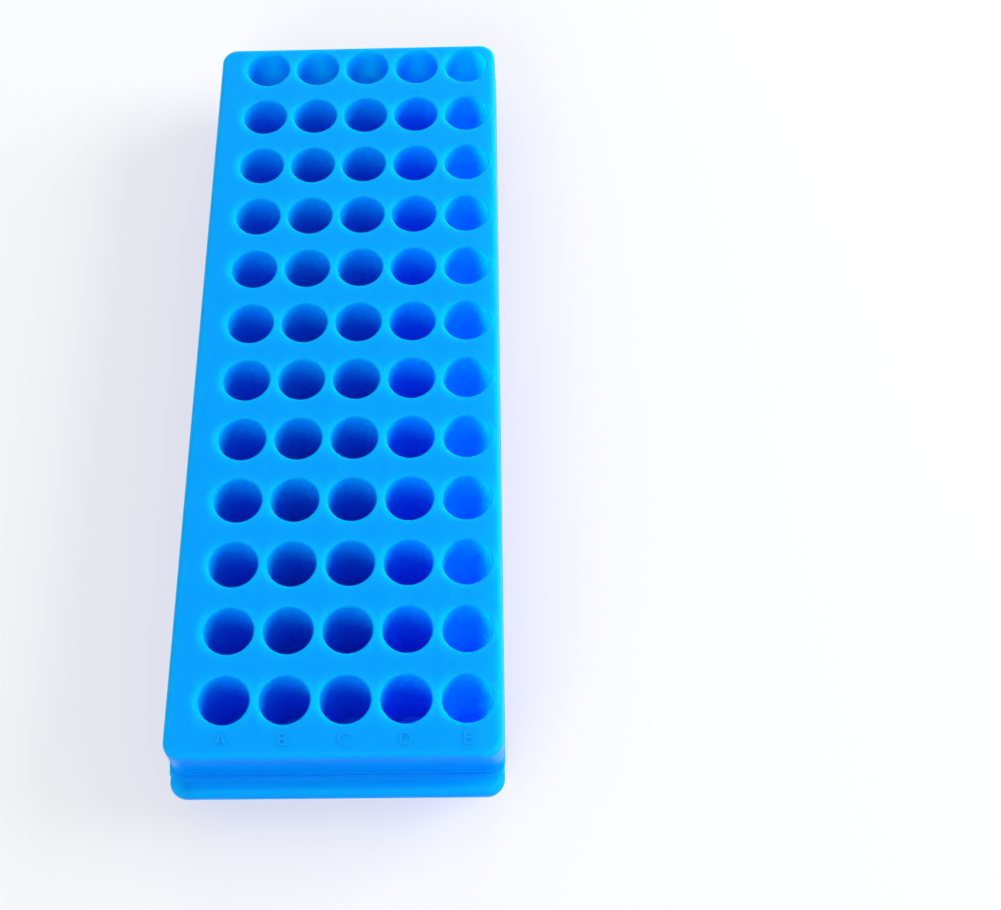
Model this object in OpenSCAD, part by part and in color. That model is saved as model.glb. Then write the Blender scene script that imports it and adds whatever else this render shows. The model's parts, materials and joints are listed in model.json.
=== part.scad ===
/* [Wells] */
// Columns of wells, across the rack
columns = 5; // [3:1:8]
// Rows of wells, along the rack
rows = 12; // [4:1:16]
// Distance between columns
column_pitch = 13; // [12.5:0.5:16]
// Distance between rows
row_pitch = 15.9; // [13:0.1:20]
// Diameter of a well where a tube's barrel sits
well_d = 11; // [9:0.1:11.5]
// Diameter of a well at the lower face
well_end_d = 10.1; // [8:0.1:11]
// Rounding of each well's two rims
well_lip = 0.4; // [0.2:0.1:0.5]

/* [Body] */
// Height of the block
body_h = 26; // [20:1:40]
// Wall beside the first column, wide enough for the row numbers
left_margin = 6.9; // [4:0.1:12]
// Wall beside the last column
right_margin = 2.1; // [1.5:0.1:8]
// Wall before the first row, wide enough for the column letters
near_margin = 7.3; // [4:0.1:12]
// Wall past the last row
far_margin = 1.7; // [1.5:0.1:8]
// Radius of the four corners, seen from above
corner_r = 4; // [3:0.5:8]
// Rounding of the upper and lower edges
edge_r = 1.2; // [0.5:0.1:2]
// Slope of the walls away from the middle band, in degrees
draft = 1; // [0:0.25:2]

/* [Flange] */
// How far each lifting flange stands out from its end wall
flange_reach = 4.7; // [3:0.1:10]
// Thickness of a flange, which ends in a full round
flange_t = 3.4; // [2:0.2:6]
// Fillet where a flange meets its end wall
flange_fillet = 1.5; // [0.5:0.1:2.5]
// How far the band at the flanges' level stands proud of the walls
band_step = 0.15; // [0.1:0.05:0.5]

/* [Hidden] */
$fn = 96;
// Cuts run this far past the faces that they open
past = 1;
mid_z = body_h / 2;
// The block's size at its upper face
body_w = left_margin + (columns - 1) * column_pitch + well_d + right_margin;
body_l = near_margin + (rows - 1) * row_pitch + well_d + far_margin;
// The block's centre is the origin, so the field of wells lies off it
field_x = (left_margin - right_margin) / 2;
field_y = (near_margin - far_margin) / 2;
// The band is half the flange and its fillet, above and below the middle
band_half_h = flange_t / 2 + flange_fillet;
// The walls spread from the upper edge to the band by this much
spread = (mid_z - band_half_h) * tan(draft);
band_out = corner_r + spread + band_step;
flange_l = body_l + 2 * (spread + flange_reach);
flange_w = body_w + 2 * spread;

// Places a shape at each well's axis
module at_wells() {
    for (c = [0 : columns - 1], r = [0 : rows - 1])
        translate([
            field_x + (c - (columns - 1) / 2) * column_pitch,
            field_y + (r - (rows - 1) / 2) * row_pitch,
            0
        ])
            children();
}

// Fills a rounded rectangle whose rim has the child's section.
// The section's x runs out from the corners' axes, and it is h high about mid-height.
module rimmed_slab(w, l, r, h) {
    straight_x = w - 2 * r;
    straight_y = l - 2 * r;
    for (side = [0, 180])
        rotate(side) {
            translate([straight_x / 2, straight_y / 2, 0])
                rotate([90, 0, 0])
                    linear_extrude(straight_y)
                        children();
            translate([-straight_x / 2, straight_y / 2, 0])
                rotate([90, 0, 90])
                    linear_extrude(straight_x)
                        children();
            translate([straight_x / 2, straight_y / 2, 0])
                rotate_extrude(angle = 90)
                    children();
            translate([-straight_x / 2, straight_y / 2, 0])
                rotate(90)
                    rotate_extrude(angle = 90)
                        children();
        }
    translate([0, 0, mid_z])
        cube([straight_x, straight_y, h], center = true);
}

// One half of the wall's section, from the middle up: drafted, with a rounded upper edge
module half_wall_section() {
    centre_z = mid_z - edge_r;
    centre_x = corner_r + edge_r * tan(draft) - edge_r / cos(draft);
    union() {
        polygon([
            [0, 0],
            [corner_r + spread, 0],
            [corner_r + spread, band_half_h],
            [centre_x + edge_r * cos(draft), centre_z + edge_r * sin(draft)],
            [centre_x, mid_z],
            [0, mid_z]
        ]);
        translate([centre_x, centre_z])
            circle(edge_r);
        square([band_out, band_half_h]);
    }
}

module wall_section() {
    translate([0, mid_z])
        for (half = [0, 1])
            mirror([0, half])
                half_wall_section();
}

module block() {
    rimmed_slab(body_w, body_l, corner_r, body_h)
        wall_section();
}

// The flange's plan: a rounded rectangle
module flange_plan(w, l) {
    straight_x = w - 2 * corner_r;
    straight_y = l - 2 * corner_r;
    square([w, straight_y], center = true);
    square([straight_x, l], center = true);
    for (x = [-1, 1], y = [-1, 1])
        translate([x * straight_x / 2, y * straight_y / 2])
            circle(corner_r);
}

// A slab at mid-height with a full round all along its rim
module flange_section() {
    tip_x = corner_r - flange_t / 2;
    translate([0, mid_z - flange_t / 2])
        square([tip_x, flange_t]);
    translate([tip_x, mid_z])
        circle(d = flange_t);
}

module flanges() {
    rimmed_slab(flange_w, flange_l, corner_r, flange_t)
        flange_section();
}

// The hollow corner between a flange and its end wall, above and below
module fillet_section() {
    reach = corner_r + spread + flange_fillet;
    difference() {
        translate([0, mid_z - band_half_h])
            square([reach, 2 * band_half_h]);
        for (up = [-1, 1])
            translate([reach, mid_z + up * band_half_h])
                circle(flange_fillet);
    }
}

module fillets() {
    intersection() {
        rimmed_slab(body_w, body_l, corner_r, 2 * band_half_h)
            fillet_section();
        linear_extrude(body_h)
            flange_plan(flange_w, flange_l);
    }
}

// One through well: straight for the barrel, then tapering, with both rims rounded
module well() {
    rotate_extrude()
        difference() {
            polygon([
                [0, -past],
                [well_end_d / 2 + well_lip, -past],
                [well_end_d / 2 + well_lip, well_lip],
                [well_end_d / 2, well_lip],
                [well_d / 2, mid_z],
                [well_d / 2, body_h - well_lip],
                [well_d / 2 + well_lip, body_h - well_lip],
                [well_d / 2 + well_lip, body_h + past],
                [0, body_h + past]
            ]);
            translate([well_end_d / 2 + well_lip, well_lip])
                circle(well_lip);
            translate([well_d / 2 + well_lip, body_h - well_lip])
                circle(well_lip);
        }
}

module rack() {
    color("deepskyblue")
        difference() {
            union() {
                block();
                flanges();
                fillets();
            }
            at_wells()
                well();
        }
}

rack();
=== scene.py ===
import json
import math
from functools import partial

import bpy
from bpy.props import FloatProperty, FloatVectorProperty, PointerProperty
from mathutils import Euler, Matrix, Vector


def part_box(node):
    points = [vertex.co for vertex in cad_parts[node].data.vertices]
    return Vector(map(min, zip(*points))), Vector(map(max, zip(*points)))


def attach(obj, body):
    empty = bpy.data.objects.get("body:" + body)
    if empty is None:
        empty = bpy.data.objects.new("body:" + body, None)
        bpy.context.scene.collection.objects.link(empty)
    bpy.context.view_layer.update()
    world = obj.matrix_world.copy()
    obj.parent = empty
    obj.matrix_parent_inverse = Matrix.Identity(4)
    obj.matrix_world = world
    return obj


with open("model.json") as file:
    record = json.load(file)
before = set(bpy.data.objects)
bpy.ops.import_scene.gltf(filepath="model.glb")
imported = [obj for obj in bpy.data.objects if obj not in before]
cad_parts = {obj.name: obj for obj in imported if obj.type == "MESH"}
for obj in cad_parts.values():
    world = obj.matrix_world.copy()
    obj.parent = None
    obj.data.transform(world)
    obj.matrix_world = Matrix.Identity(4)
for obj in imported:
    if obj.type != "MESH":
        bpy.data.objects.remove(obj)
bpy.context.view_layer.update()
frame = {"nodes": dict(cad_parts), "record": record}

bl_info = {
    "name": "Microcentrifuge Tube Rack",
    "version": (1, 0, 0),
    "blender": (4, 5, 0),
    "location": "3D View > Sidebar > Tube Rack",
    "description": "Finishes a moulded tube rack, letters it and lights it for a picture",
    "category": "Object",
}

MM = 0.001
NODE = "rack"
LOW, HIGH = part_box(NODE)

# the top face's wide margins, outside column A and outside row 1
LEFT_MARGIN = 6.9 * MM
NEAR_MARGIN = 7.3 * MM
# a point this little past a well's radius still counts as inside the well
WELL_SLACK = 0.1 * MM
# a well's rounded rim has ended this far outside the well
RIM_OUT = 0.6 * MM
# the top's rounded edge has all but turned into the wall this far below the top, where the painted shade of
# the walls is full
EDGE_DROP = 1.0 * MM
# how far below the top the painted light on the thin walls reaches, and how deep the last wells' painted
# light reaches its full strength
THIN_DEPTH = 4.0 * MM
LAST_DEPTH = 14.0 * MM
# the painted light on the flange's top comes in between these depths below the top
FLANGE_FROM, FLANGE_TO = 8.0 * MM, 14.0 * MM
# the last column's and the last row's looks, their painted light among them, start this far outside their
# wells
BORDER = 1.0 * MM
# the painted light on a web shows only beside a well: the higher this power, the closer to straight beside
# it
WEB_POWER = 3.0
# how soon a face that tilts away from the top counts as a flank and takes the painted shade
FLANK_GAIN = 2.0
# noise seldom leaves this range
NOISE_LOW, NOISE_HIGH = 0.3, 0.7
# strengths of the bump that the waves and the grain give
WAVE_BUMP = 0.25
GRAIN_BUMP = 0.3
# a capital's height as a share of the font's size
CAPITAL_SHARE = 0.729
# how far a raised character reaches into the moulding, and how far its edges are rounded
ROOT_IN = 0.05 * MM
EASE = 0.02 * MM
# how many straight steps a curve in a character takes, and how close two of its points may lie
CURVE_STEPS = 6
MERGE = 0.001 * MM

# the softboxes: name, setting, and where each hangs, in metres
SOFTBOXES = (
    ("softbox_right", "key", (1.0, 0.2, 0.42)),
    ("softbox_far", "back", (0.1, 1.0, 0.35)),
    ("softbox_near", "fill", (-0.3, -1.0, 0.6)),
)
SOFTBOX_SIDE = 0.8
FLOOR_SIDE = 6.0
FLOOR_GAP = 0.2 * MM
PAPER_ROUGHNESS = 0.5
# the floor fades to the background between these distances from the rack's centre, from this share
FADE_FROM, FADE_TO = 0.12, 0.8
FADE_LEAST = 0.5
# how far inside the rack's outline the floor starts to take the painted colour of the light through the
# rack
FOOT_IN = 1.0 * MM

# the camera stands beyond the near right corner and looks down along the rack
CAMERA_PLACE = (36.9 * MM, -204.3 * MM, 356.1 * MM)
CAMERA_TURN = (28.347, 1.735, -0.022)
LENS = 58.9
SENSOR = 36.0
SIDE_SHIFT = 0.04
NEAREST = 10.0 * MM


def well_axes():
    """The x of each column's axes and the y of each row's, from the wells that the record states."""
    wells = [m for m in frame["record"]["mounts"] if m["name"].startswith("well_")]
    xs = sorted({round(m["pos_m"][0], 6) for m in wells})
    ys = sorted({round(m["pos_m"][1], 6) for m in wells})
    return xs, ys, wells[0]["dims"]["r_mm"] * MM


COLUMN_X, ROW_Y, WELL_R = well_axes()
COLUMN_PITCH = COLUMN_X[1] - COLUMN_X[0]
ROW_PITCH = ROW_Y[1] - ROW_Y[0]
TOP_LEFT_X = COLUMN_X[0] - WELL_R - LEFT_MARGIN
TOP_NEAR_Y = ROW_Y[0] - WELL_R - NEAR_MARGIN


# ---------------------------------------------------------------- colours and nodes


def linear(hex_colour):
    """An sRGB hex colour as linear red, green and blue."""
    parts = [int(hex_colour[i : i + 2], 16) / 255 for i in (1, 3, 5)]
    return tuple(c / 12.92 if c <= 0.04045 else ((c + 0.055) / 1.055) ** 2.4 for c in parts)


def add_node(tree, kind, inputs=None, **settings):
    """Adds a node, sets its properties, and sets or links its inputs.

    An input's value is a number, a vector, a socket, or a node, which stands for its first output.
    """
    node = tree.nodes.new(kind)
    for name, value in settings.items():
        setattr(node, name, value)
    for name, value in (inputs or {}).items():
        if isinstance(value, bpy.types.Node):
            value = value.outputs[0]
        if isinstance(value, bpy.types.NodeSocket):
            tree.links.new(value, node.inputs[name])
        else:
            node.inputs[name].default_value = value
    return node


def empty_tree(owner):
    """The node tree of a new material or world, with nothing in it."""
    owner.use_nodes = True
    owner.node_tree.nodes.clear()
    return owner.node_tree


def polypropylene_moulded(looks):
    """Polypropylene with blue pigment, injection moulded in a polished tool.

    It is glossy but not mirror-like, and lets light through: what goes in at a thin wall comes out
    in the well behind it, so thin walls look light and thick ones deep blue. The base colour carries
    painted light where walls are thin and painted shade on the flanks and the wells' rims.
    """
    material = bpy.data.materials.new("polypropylene_moulded_blue")
    node = partial(add_node, empty_tree(material))
    coordinates = node("ShaderNodeTexCoord").outputs
    where = coordinates["Object"]
    x, y, z = node("ShaderNodeSeparateXYZ", {0: where}).outputs
    upwards = node("ShaderNodeSeparateXYZ", {0: coordinates["Normal"]}).outputs["Z"]

    # the nearest well's axis, and how far out from it a point is
    first = (COLUMN_X[0], ROW_Y[0], 0.0)
    span = (COLUMN_X[-1] - COLUMN_X[0], ROW_Y[-1] - ROW_Y[0], 0.0)
    half = (-0.5 * COLUMN_PITCH, -0.5 * ROW_PITCH, 0.0)
    from_first = node("ShaderNodeVectorMath", {0: where, 1: first}, operation="SUBTRACT")
    past_half = node("ShaderNodeVectorMath", {0: from_first, 1: half}, operation="SUBTRACT")
    step = node("ShaderNodeVectorMath", {0: past_half, 1: (COLUMN_PITCH, ROW_PITCH, 1.0)}, operation="SNAP")
    step = node("ShaderNodeVectorMath", {0: step, 1: (0.0, 0.0, 0.0)}, operation="MAXIMUM")
    step = node("ShaderNodeVectorMath", {0: step, 1: span}, operation="MINIMUM")
    off = node("ShaderNodeVectorMath", {0: from_first, 1: step}, operation="SUBTRACT")
    off = node("ShaderNodeVectorMath", {0: off, 1: (1.0, 1.0, 0.0)}, operation="MULTIPLY")
    out = node("ShaderNodeVectorMath", {0: off}, operation="LENGTH").outputs["Value"]
    inside = node("ShaderNodeMath", {0: out, 1: WELL_R + WELL_SLACK}, operation="LESS_THAN")
    outside = node("ShaderNodeMath", {0: 1.0, 1: inside}, operation="SUBTRACT")
    # -1 left of the axis, 1 right of it, and 0 in line with the column
    across = node("ShaderNodeVectorMath", {0: off}, operation="NORMALIZE")
    across = node("ShaderNodeSeparateXYZ", {0: across}).outputs["X"]

    # smooth fades: what each reads, where it is 0, where it is 1, and what it reaches
    fades = {}
    for name, value, start, end, most in (
        ("close", out, WELL_R + looks.web_reach, WELL_R + 0.3 * looks.web_reach, 1.0),
        ("past_rim", out, WELL_R + WELL_SLACK, WELL_R + RIM_OUT, 1.0),
        ("upper", z, HIGH.z - THIN_DEPTH, HIGH.z, 1.0),
        ("deep", z, HIGH.z - EDGE_DROP, HIGH.z - LAST_DEPTH, 1.0),
        ("flank", z, HIGH.z, HIGH.z - EDGE_DROP, 1.0),
        ("low", z, HIGH.z - FLANGE_FROM, HIGH.z - FLANGE_TO, looks.flange_painted_light),
        ("rim", out, WELL_R + 2 * RIM_OUT, WELL_R + RIM_OUT, 1.0),
        ("right_side", across, 0.0, 0.9, 1.0),
        ("left_side", across, -0.3, -1.0, looks.last_left_painted_light),
        ("last_column", x, COLUMN_X[-1] - WELL_R - BORDER, COLUMN_X[-1] - WELL_R, 1.0),
        ("last_row", y, ROW_Y[-1] - WELL_R - BORDER, ROW_Y[-1] - WELL_R, 1.0),
        ("right_wall", x, COLUMN_X[-1], COLUMN_X[-1] + WELL_R, 1.0),
        ("far_wall", y, ROW_Y[-1], ROW_Y[-1] + WELL_R, 1.0),
    ):
        fades[name] = node(
            "ShaderNodeMapRange",
            {"Value": value, "From Min": start, "From Max": end, "To Max": most},
            interpolation_type="SMOOTHSTEP",
            label=name,
        )

    # painted light: the webs beside the wells are painted lighter near the top, and so is the edge outside
    # the last column, for light that comes through the thin walls
    sideways = node("ShaderNodeMath", {0: across}, operation="ABSOLUTE")
    sideways = node("ShaderNodeMath", {0: sideways, 1: WEB_POWER}, operation="POWER")
    web = node("ShaderNodeMath", {0: fades["close"], 1: sideways}, operation="MULTIPLY")
    web = node("ShaderNodeMath", {0: web, 1: fades["past_rim"]}, operation="MULTIPLY")
    web = node("ShaderNodeMath", {0: web, 1: looks.web_painted_light}, operation="MULTIPLY")
    edge = node("ShaderNodeMath", {0: fades["right_wall"], 1: looks.edge_painted_light}, operation="MULTIPLY")
    painted_light_top = node("ShaderNodeMath", {0: web, 1: edge}, operation="MAXIMUM")
    painted_light_top = node("ShaderNodeMath", {0: painted_light_top, 1: fades["upper"]}, operation="MULTIPLY")
    # painted light too in the wells that only a thin outer wall shuts off from the light, stronger deeper
    # down; their translucency takes the thin tint
    last = node("ShaderNodeMath", {0: fades["last_column"], 1: fades["last_row"]}, operation="MAXIMUM")
    last = node("ShaderNodeMath", {0: last, 1: inside}, operation="MULTIPLY")
    in_last = node("ShaderNodeMath", {0: fades["last_column"], 1: inside}, operation="MULTIPLY")
    tint = node(
        "ShaderNodeMix",
        {"Factor": in_last, 6: (*looks.tint, 1.0), 7: (*looks.thin_tint, 1.0)},
        data_type="RGBA",
    )
    last = node("ShaderNodeMath", {0: last, 1: fades["deep"]}, operation="MULTIPLY")
    last = node("ShaderNodeMath", {0: last, 1: looks.last_painted_light}, operation="MULTIPLY")
    painted_light_mask = node("ShaderNodeMath", {0: painted_light_top, 1: last}, operation="MAXIMUM")
    # most of that light comes in through the outer wall, and some from the next column's well, so the
    # painted light is strongest on the right of those wells and weaker on the left
    right = node("ShaderNodeMath", {0: fades["right_side"], 1: in_last}, operation="MULTIPLY")
    left = node("ShaderNodeMath", {0: fades["left_side"], 1: in_last}, operation="MULTIPLY")
    beside = node("ShaderNodeMath", {0: right, 1: looks.last_right_painted_light}, operation="MULTIPLY")
    beside = node("ShaderNodeMath", {0: beside, 1: left}, operation="MAXIMUM")
    painted_light_mask = node("ShaderNodeMath", {0: painted_light_mask, 1: beside}, operation="MAXIMUM")
    # painted light on the flange's ledge, whose top is thin too
    ledge = node("ShaderNodeMath", {0: upwards, 1: fades["low"]}, operation="MULTIPLY", use_clamp=True)
    ledge = node("ShaderNodeMath", {0: ledge, 1: outside}, operation="MULTIPLY")
    painted_light_mask = node("ShaderNodeMath", {0: painted_light_mask, 1: ledge}, operation="MAXIMUM")
    # painted shade: walls and the wells' rims get less light from above and show more of the light that has
    # gone through the plastic, so they are painted a deeper blue
    flank = node(
        "ShaderNodeMath",
        {0: upwards, 1: -FLANK_GAIN, 2: FLANK_GAIN},
        operation="MULTIPLY_ADD",
        use_clamp=True,
    )
    steep = node("ShaderNodeMath", {0: fades["flank"], 1: fades["rim"]}, operation="MAXIMUM")
    flank = node("ShaderNodeMath", {0: flank, 1: steep}, operation="MULTIPLY")
    flank = node("ShaderNodeMath", {0: flank, 1: outside}, operation="MULTIPLY")
    colour = node(
        "ShaderNodeMix",
        {"Factor": flank, 6: (*looks.pigment, 1.0), 7: (*looks.painted_shade_colour, 1.0)},
        data_type="RGBA",
    )
    # the painted light of the thin walls is mixed into the base colour here
    colour = node(
        "ShaderNodeMix",
        {"Factor": painted_light_mask, 6: colour.outputs[2], 7: (*looks.painted_light_colour, 1.0)},
        data_type="RGBA",
    )

    # light travels further inside the walls of those wells, so more of it comes in from outside
    in_row = node("ShaderNodeMath", {0: fades["last_row"], 1: inside}, operation="MULTIPLY")
    in_row = node("ShaderNodeMath", {0: in_row, 1: looks.last_row_reach}, operation="MULTIPLY")
    reach = node("ShaderNodeMath", {0: right, 1: looks.last_column_reach}, operation="MULTIPLY")
    reach = node("ShaderNodeMath", {0: reach, 1: in_row}, operation="MAXIMUM")
    reach = node("ShaderNodeMath", {0: reach, 1: looks.scatter_depth}, operation="ADD")

    # the renderer stops scattering light inside after its first bounce, so rays that have bounced
    # meet a share of plain translucency instead, and the thin outer walls pass the most
    share = looks.translucency
    for part, most in (
        (in_last, looks.right_translucency),
        (fades["right_wall"], looks.right_translucency),
        (fades["far_wall"], looks.far_translucency),
    ):
        part = node("ShaderNodeMath", {0: part, 1: most}, operation="MULTIPLY")
        share = node("ShaderNodeMath", {0: share, 1: part}, operation="MAXIMUM")
    camera = node("ShaderNodeLightPath").outputs["Is Camera Ray"]
    bounced = node("ShaderNodeMath", {0: 1.0, 1: camera}, operation="SUBTRACT")
    share = node("ShaderNodeMath", {0: share, 1: bounced}, operation="MULTIPLY")

    # the tool's polish leaves a faint waviness a few millimetres across
    waves = node(
        "ShaderNodeTexNoise",
        {"Vector": where, "Scale": 1 / looks.wave_width, "Detail": 2.0, "Roughness": 0.4},
    )
    bump = node("ShaderNodeBump", {"Height": waves, "Strength": WAVE_BUMP, "Distance": looks.wave_height})
    # fine scuffs from use, drawn at half a millimetre so that they can show
    scuffs = node(
        "ShaderNodeTexNoise",
        {"Vector": where, "Scale": 1 / looks.scuff_width, "Detail": 3.0, "Roughness": 0.6},
    )
    roughness = node(
        "ShaderNodeMapRange",
        {
            "Value": scuffs,
            "From Min": NOISE_LOW,
            "From Max": NOISE_HIGH,
            "To Min": looks.roughness - looks.scuff_change,
            "To Max": looks.roughness + looks.scuff_change,
        },
    )

    body = node(
        "ShaderNodeBsdfPrincipled",
        {
            "Base Color": colour.outputs[2],
            "Roughness": roughness,
            "Normal": bump,
            "IOR": looks.ior,
            "Specular IOR Level": looks.specular,
            "Subsurface Weight": 1.0,
            "Subsurface Radius": tuple(looks.scatter),
            "Subsurface Scale": reach,
        },
        subsurface_method="RANDOM_WALK",
    )
    through = node("ShaderNodeBsdfTranslucent", {"Color": tint.outputs[2]})
    surface = node("ShaderNodeMixShader", {0: share, 1: body, 2: through})
    # thickness takes the green out first, which leaves thick sections a deeper blue
    depth = node(
        "ShaderNodeVolumeAbsorption",
        {"Color": (*looks.absorption, 1.0), "Density": looks.absorption_density},
    )
    node("ShaderNodeOutputMaterial", {"Surface": surface, "Volume": depth})
    return material


def polypropylene_raised(looks):
    """The same polypropylene, in strokes too low and narrow for light to spread in.

    Their colour is the one that the face around them shows once light has spread in it.
    """
    material = bpy.data.materials.new("polypropylene_raised_blue")
    node = partial(add_node, empty_tree(material))
    where = node("ShaderNodeTexCoord").outputs["Object"]
    # the steel tool's engraved strokes are rougher than its polished face, by a fine grain
    grain = node("ShaderNodeTexNoise", {"Vector": where, "Scale": 1 / looks.grain_width, "Detail": 2.0})
    bump = node(
        "ShaderNodeBump", {"Height": grain, "Strength": GRAIN_BUMP, "Distance": looks.grain_height}
    )
    shader = node(
        "ShaderNodeBsdfPrincipled",
        {
            "Base Color": (*looks.stroke, 1.0),
            "Roughness": looks.roughness,
            "Normal": bump,
            "IOR": looks.ior,
            "Specular IOR Level": looks.specular,
        },
    )
    node("ShaderNodeOutputMaterial", {"Surface": shader})
    return material


# ---------------------------------------------------------------- settings


def colour_property(name, description, default):
    return FloatVectorProperty(
        name=name, description=description, default=default, subtype="COLOR", size=3, min=0.0, max=1.0
    )


def share_property(name, description, default):
    return FloatProperty(
        name=name, description=description, default=default, subtype="FACTOR", min=0.0, max=1.0
    )


def length_property(name, description, default):
    return FloatProperty(name=name, description=description, default=default, unit="LENGTH", min=0.0)


def level_property(name, description, default):
    return FloatProperty(name=name, description=description, default=default, min=0.0)


class RackLooks(bpy.types.PropertyGroup):
    """Finish of the moulding, with its painted light and painted shade."""

    pigment: colour_property("Pigment", "Colour of the polypropylene", linear("#00A7FF"))
    # painted light: the colour that stands in for light coming through thin walls
    painted_light_colour: colour_property("Thin Pigment", "Colour where a wall is thin", linear("#00E6FF"))
    # painted shade: the deeper blue of faces that turn away from the top and of the wells' rims
    painted_shade_colour: colour_property("Flank Pigment", "Colour of the sides below the top", linear("#008CFF"))
    stroke: colour_property("Stroke", "Colour of the raised characters", linear("#0AA5FF"))
    tint: colour_property("Tint", "Colour that the surface gives to light that passes", linear("#59F0FF"))
    thin_tint: colour_property("Thin Tint", "The same in the last column's wells", linear("#59FFFF"))
    absorption: colour_property(
        "Absorption", "Colour of the light that thick plastic lets through", linear("#00DAFF")
    )
    absorption_density: level_property(
        "Absorption Density", "How fast thickness colours the light, per metre", 850.0
    )
    roughness: share_property("Roughness", "How matt the moulded surface is", 0.32)
    ior: level_property("IOR", "Index of refraction of polypropylene", 1.49)
    specular: share_property("Reflection", "Strength of the surface reflection", 0.08)
    translucency: share_property("Translucency", "Share of light that passes through the surface", 0.4)
    right_translucency: share_property(
        "Last Column Translucency", "The same for the walls of the last column", 0.9
    )
    far_translucency: share_property(
        "Last Row Translucency", "The same for the wall outside the last row", 0.5
    )
    # how far each place turns to the painted light of the thin walls, and how far from a well that painted
    # light reaches
    web_painted_light: share_property("Web Lift", "How far the webs between wells turn to the thin colour", 0.28)
    edge_painted_light: share_property("Edge Lift", "The same for the edge outside the last column", 0.1)
    last_painted_light: share_property("Last Column Lift", "The same inside the last column's wells", 0.6)
    last_right_painted_light: share_property("Last Right Lift", "The same on the right of those wells", 0.7)
    last_left_painted_light: share_property("Last Left Lift", "The same on the left of those wells", 0.35)
    flange_painted_light: share_property("Flange Lift", "The same for the top of the flange", 0.22)
    web_reach: length_property("Web Reach", "How far from a well its thin walls show", 2.5 * MM)
    scatter: FloatVectorProperty(
        name="Scatter by Colour",
        description="How far red, green and blue light travels inside, as shares of the depth",
        default=(0.05, 1.0, 0.8),
        size=3,
        min=0.0,
    )
    scatter_depth: length_property(
        "Scatter Depth", "How far light travels inside the plastic before it turns", 5.0 * MM
    )
    last_column_reach: length_property(
        "Last Column Reach", "How much further it travels right of the last column's wells", 8.0 * MM
    )
    last_row_reach: length_property(
        "Last Row Reach", "How much further it travels around the last row's wells", 2.5 * MM
    )
    wave_width: length_property("Wave Width", "Width of the waves in the polished faces", 6.0 * MM)
    wave_height: length_property("Wave Height", "Height of those waves", 0.05 * MM)
    scuff_width: length_property("Scuff Width", "Width of the fine scuffs", 0.5 * MM)
    scuff_change: share_property("Scuff Change", "How much the scuffs change the roughness", 0.04)
    grain_width: length_property("Grain Width", "Width of the raised characters' grain", 0.15 * MM)
    grain_height: length_property("Grain Height", "Height of that grain", 0.01 * MM)


class RackLettering(bpy.types.PropertyGroup):
    """Sizes of the raised letters and numbers."""

    height: length_property("Character Height", "Height of a letter or a number", 3.0 * MM)
    relief: length_property("Relief", "How far the characters stand out", 0.1 * MM)
    letters_in: length_property(
        "Letters In", "From the near edge of the top to the middle of the letters", 3.9 * MM
    )
    numbers_in: length_property(
        "Numbers In", "From the long edge of the underside to the middle of the numbers", 3.0 * MM
    )


class RackStage(bpy.types.PropertyGroup):
    """Light and floor."""

    key: level_property("Key Light", "Light level that the side softbox gives", 1.14)
    fill: level_property("Fill Light", "Light level that the near softbox gives", 0.38)
    back: level_property("Back Light", "Light level that the far softbox gives", 0.27)
    sky: level_property("Sky", "Strength of the light from overhead", 0.66)
    horizon: level_property("Horizon", "Strength of the light from the side", 0.18)
    sky_colour: colour_property("Sky Colour", "Colour of that light", linear("#F3F7FF"))
    floor: colour_property("Floor", "Colour of the floor", linear("#F6F6F6"))
    # painted light: the blue of the light through the rack, painted on the floor under it
    under: colour_property("Under the Rack", "Colour of the floor under the rack", linear("#3FBFFF"))


# ---------------------------------------------------------------- pieces


def deselect_all():
    bpy.ops.object.select_all(action="DESELECT")


class RACK_OT_finish_moulding(bpy.types.Operator):
    """Gives the moulded block its polypropylene, with painted light on the thin walls and painted shade on
    the flanks and rims
    """

    bl_idname = "tube_rack.finish_moulding"
    bl_label = "Finish Moulding"

    def execute(self, context):
        block = frame["nodes"][NODE]
        block.data.materials.clear()
        block.data.materials.append(polypropylene_moulded(context.scene.rack_looks))
        return {"FINISHED"}


def raised_characters(name, characters, places, turn, scene):
    """One piece of raised characters, each centred on its place and turned as given.

    They stand out of the moulding by the relief and reach a little way into it.
    """
    lettering = scene.rack_lettering
    made = []
    for character, place in zip(characters, places):
        deselect_all()
        bpy.ops.object.text_add()
        text = bpy.context.object
        text.data.body = character
        text.data.align_x = "CENTER"
        text.data.align_y = "CENTER"
        text.data.size = lettering.height / CAPITAL_SHARE
        text.data.resolution_u = CURVE_STEPS
        text.data.extrude = 0.5 * (lettering.relief + ROOT_IN) - EASE
        text.data.bevel_depth = EASE
        text.data.bevel_resolution = 1
        text.data.offset = -EASE
        bpy.ops.object.convert(target="MESH")
        solid = bpy.context.object
        bpy.ops.object.mode_set(mode="EDIT")
        bpy.ops.mesh.select_all(action="SELECT")
        bpy.ops.mesh.remove_doubles(threshold=MERGE)
        bpy.ops.mesh.normals_make_consistent(inside=False)
        bpy.ops.object.mode_set(mode="OBJECT")
        outwards = turn.to_matrix() @ Vector((0.0, 0.0, 0.5 * (lettering.relief - ROOT_IN)))
        solid.rotation_euler = turn
        solid.location = Vector(place) + outwards
        made.append(solid)
    deselect_all()
    for solid in made:
        solid.select_set(True)
    bpy.context.view_layer.objects.active = made[0]
    bpy.ops.object.join()
    piece = bpy.context.object
    piece.name = piece.data.name = name
    bpy.ops.object.transform_apply(location=True, rotation=True, scale=True)
    piece.data.materials.clear()
    piece.data.materials.append(polypropylene_raised(scene.rack_looks))
    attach(piece, "root")


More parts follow.
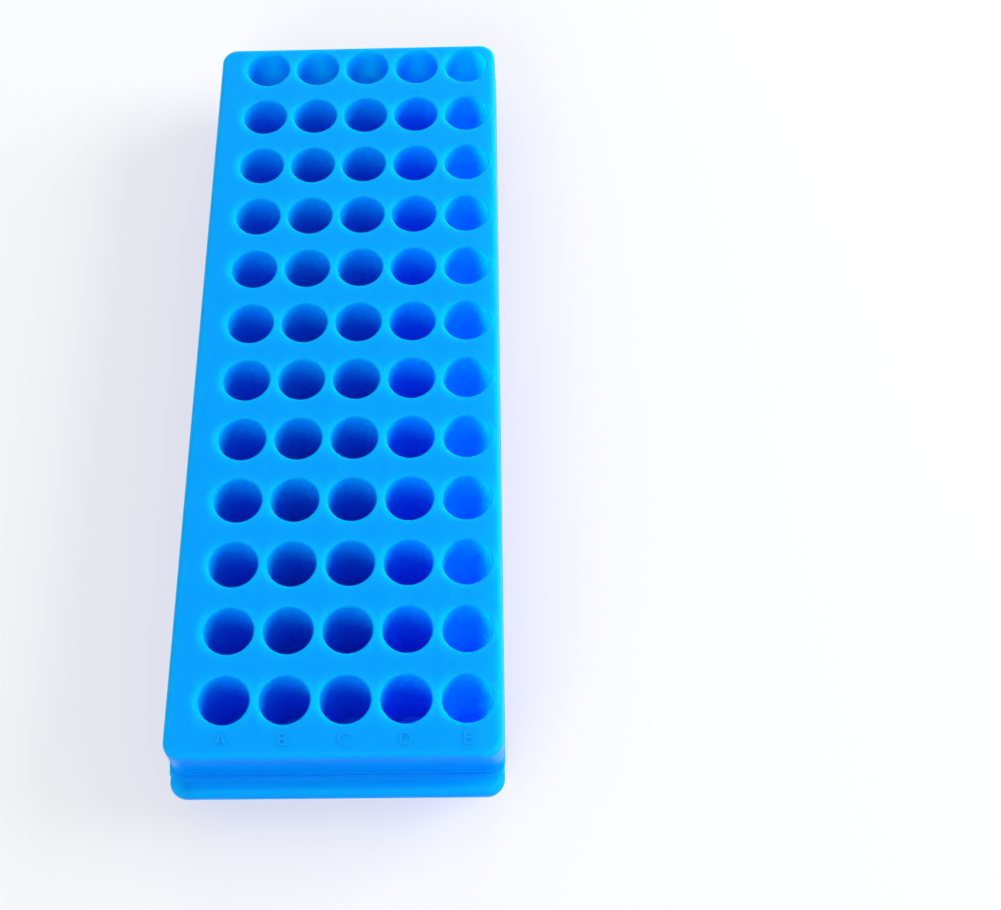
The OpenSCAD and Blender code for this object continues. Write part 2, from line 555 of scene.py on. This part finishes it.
class RACK_OT_letter_columns(bpy.types.Operator):
    """Raises the column letters on the wide end of the top face"""

    bl_idname = "tube_rack.letter_columns"
    bl_label = "Letter Columns"

    def execute(self, context):
        y = TOP_NEAR_Y + context.scene.rack_lettering.letters_in
        places = [(x, y, HIGH.z) for x in COLUMN_X]
        raised_characters("column_letters", "ABCDE", places, Euler((0.0, 0.0, 0.0)), context.scene)
        return {"FINISHED"}


class RACK_OT_number_rows(bpy.types.Operator):
    """Raises the row numbers on the wide side of the underside"""

    bl_idname = "tube_rack.number_rows"
    bl_label = "Number Rows"

    def execute(self, context):
        x = TOP_LEFT_X + context.scene.rack_lettering.numbers_in
        places = [(x, y, LOW.z) for y in ROW_Y]
        numbers = [str(i + 1) for i in range(len(ROW_Y))]
        turn = Euler((math.pi, 0.0, 0.5 * math.pi))
        raised_characters("row_numbers", numbers, places, turn, context.scene)
        return {"FINISHED"}


def seen_directly(node):
    """1 where a ray shows the background itself: to the camera, in a reflection or through glass."""
    path = node("ShaderNodeLightPath").outputs
    seen = node(
        "ShaderNodeMath", {0: path["Is Camera Ray"], 1: path["Is Glossy Ray"]}, operation="MAXIMUM"
    )
    return node("ShaderNodeMath", {0: seen, 1: path["Is Transmission Ray"]}, operation="MAXIMUM")


class RACK_OT_stage(bpy.types.Operator):
    """Adds the floor, the soft light and the camera"""

    bl_idname = "tube_rack.stage"
    bl_label = "Stage and Light"

    def execute(self, context):
        stage = context.scene.rack_stage
        self.floor(stage)
        self.world(context.scene, stage)
        for name, level, place in SOFTBOXES:
            self.softbox(name, Vector(place), getattr(stage, level))
        self.camera(context.scene)
        context.scene.view_settings.view_transform = "Standard"
        return {"FINISHED"}

    def floor(self, stage):
        """Matt white paper, painted blue under the rack for the light through it, which fades to the white
        background far from the rack.
        """
        deselect_all()
        bpy.ops.mesh.primitive_plane_add(size=FLOOR_SIDE, location=(0.0, 0.0, LOW.z - FLOOR_GAP))
        floor = bpy.context.object
        floor.name = "floor"
        bpy.ops.object.transform_apply(location=True, rotation=True, scale=True)
        material = bpy.data.materials.new("paper_matt_white")
        node = partial(add_node, empty_tree(material))
        where = node("ShaderNodeTexCoord").outputs["Object"]
        away = node("ShaderNodeVectorMath", {0: where}, operation="LENGTH").outputs["Value"]
        away = node(
            "ShaderNodeMapRange",
            {"Value": away, "From Min": FADE_FROM, "From Max": FADE_TO, "To Min": FADE_LEAST},
            interpolation_type="SMOOTHSTEP",
        )
        # painted light: the paper under the rack is painted the blue of the light that comes down through
        # the rack
        backfacing = node("ShaderNodeNewGeometry").outputs["Backfacing"]
        under = []
        for axis, reach in ((0, -TOP_LEFT_X), (1, -TOP_NEAR_Y)):
            side = node("ShaderNodeSeparateXYZ", {0: where}).outputs[axis]
            side = node("ShaderNodeMath", {0: side}, operation="ABSOLUTE")
            under.append(
                node(
                    "ShaderNodeMapRange",
                    {"Value": side, "From Min": reach - FOOT_IN, "From Max": reach - 2 * FOOT_IN},
                )
            )
        above = node("ShaderNodeMath", {0: 1.0, 1: backfacing}, operation="SUBTRACT")
        under = node("ShaderNodeMath", {0: under[0], 1: under[1]}, operation="MULTIPLY")
        under = node("ShaderNodeMath", {0: under, 1: above}, operation="MULTIPLY")
        open_floor = node("ShaderNodeMath", {0: 1.0, 1: under}, operation="SUBTRACT")
        fade = node("ShaderNodeMath", {0: away, 1: open_floor}, operation="MULTIPLY")
        fade = node("ShaderNodeMath", {0: fade, 1: seen_directly(node)}, operation="MULTIPLY")
        shade = node(
            "ShaderNodeMix",
            {"Factor": under, 6: (*stage.floor, 1.0), 7: (*stage.under, 1.0)},
            data_type="RGBA",
        )
        paper = node("ShaderNodeBsdfDiffuse", {"Color": shade.outputs[2], "Roughness": PAPER_ROUGHNESS})
        white = node("ShaderNodeEmission")
        surface = node("ShaderNodeMixShader", {0: fade, 1: paper, 2: white})
        node("ShaderNodeOutputMaterial", {"Surface": surface})
        floor.data.materials.append(material)

    def world(self, scene, stage):
        """An overcast sky, brightest overhead, before a plain white background."""
        scene.world = bpy.data.worlds.new("studio")
        node = partial(add_node, empty_tree(scene.world))
        direction = node("ShaderNodeTexCoord").outputs["Generated"]
        up = node("ShaderNodeSeparateXYZ", {0: direction}).outputs["Z"]
        overcast = node(
            "ShaderNodeMapRange", {"Value": up, "To Min": stage.horizon, "To Max": stage.sky}
        )
        sky = node("ShaderNodeBackground", {"Color": (*stage.sky_colour, 1.0), "Strength": overcast})
        white = node("ShaderNodeBackground", {"Color": (1.0, 1.0, 1.0, 1.0), "Strength": 1.0})
        surface = node("ShaderNodeMixShader", {0: seen_directly(node), 1: sky, 2: white})
        node("ShaderNodeOutputWorld", {"Surface": surface})

    def softbox(self, name, place, level):
        """A square lamp aimed at the rack. A white surface that faces it renders at the level."""
        bpy.ops.object.light_add(type="AREA", location=place)
        lamp = bpy.context.object
        lamp.name = name
        lamp.data.shape = "SQUARE"
        lamp.data.size = SOFTBOX_SIDE
        aim = Vector((0.0, 0.0, 0.5 * HIGH.z)) - place
        lamp.rotation_euler = aim.to_track_quat("-Z", "Y").to_euler()
        lamp.data.energy = level * (math.pi * aim.length) ** 2
        lamp.visible_glossy = False

    def camera(self, scene):
        bpy.ops.object.camera_add()
        camera = bpy.context.object
        camera.name = "camera"
        camera.data.sensor_width = SENSOR
        camera.data.lens = LENS
        camera.data.shift_x = SIDE_SHIFT
        camera.data.clip_start = NEAREST
        camera.location = CAMERA_PLACE
        camera.rotation_euler = [math.radians(a) for a in CAMERA_TURN]
        scene.camera = camera


class RACK_PT_panel(bpy.types.Panel):
    """Lists the rack's settings and steps"""

    bl_idname = "RACK_PT_panel"
    bl_label = "Tube Rack"
    bl_space_type = "VIEW_3D"
    bl_region_type = "UI"
    bl_category = "Tube Rack"

    def draw(self, context):
        for settings, steps in (
            (context.scene.rack_looks, ["tube_rack.finish_moulding"]),
            (context.scene.rack_lettering, ["tube_rack.letter_columns", "tube_rack.number_rows"]),
            (context.scene.rack_stage, ["tube_rack.stage"]),
        ):
            box = self.layout.box()
            for name in settings.__annotations__:
                box.prop(settings, name)
            for step in steps:
                box.operator(step)


CLASSES = (
    RackLooks,
    RackLettering,
    RackStage,
    RACK_OT_finish_moulding,
    RACK_OT_letter_columns,
    RACK_OT_number_rows,
    RACK_OT_stage,
    RACK_PT_panel,
)


def register():
    for cls in CLASSES:
        bpy.utils.register_class(cls)
    bpy.types.Scene.rack_looks = PointerProperty(type=RackLooks)
    bpy.types.Scene.rack_lettering = PointerProperty(type=RackLettering)
    bpy.types.Scene.rack_stage = PointerProperty(type=RackStage)


def unregister():
    for name in ("rack_looks", "rack_lettering", "rack_stage"):
        delattr(bpy.types.Scene, name)
    for cls in reversed(CLASSES):
        bpy.utils.unregister_class(cls)


def main():
    register()
    bpy.ops.tube_rack.finish_moulding()
    bpy.ops.tube_rack.letter_columns()
    bpy.ops.tube_rack.number_rows()
    bpy.ops.tube_rack.stage()


if __name__ == "__main__":
    main()
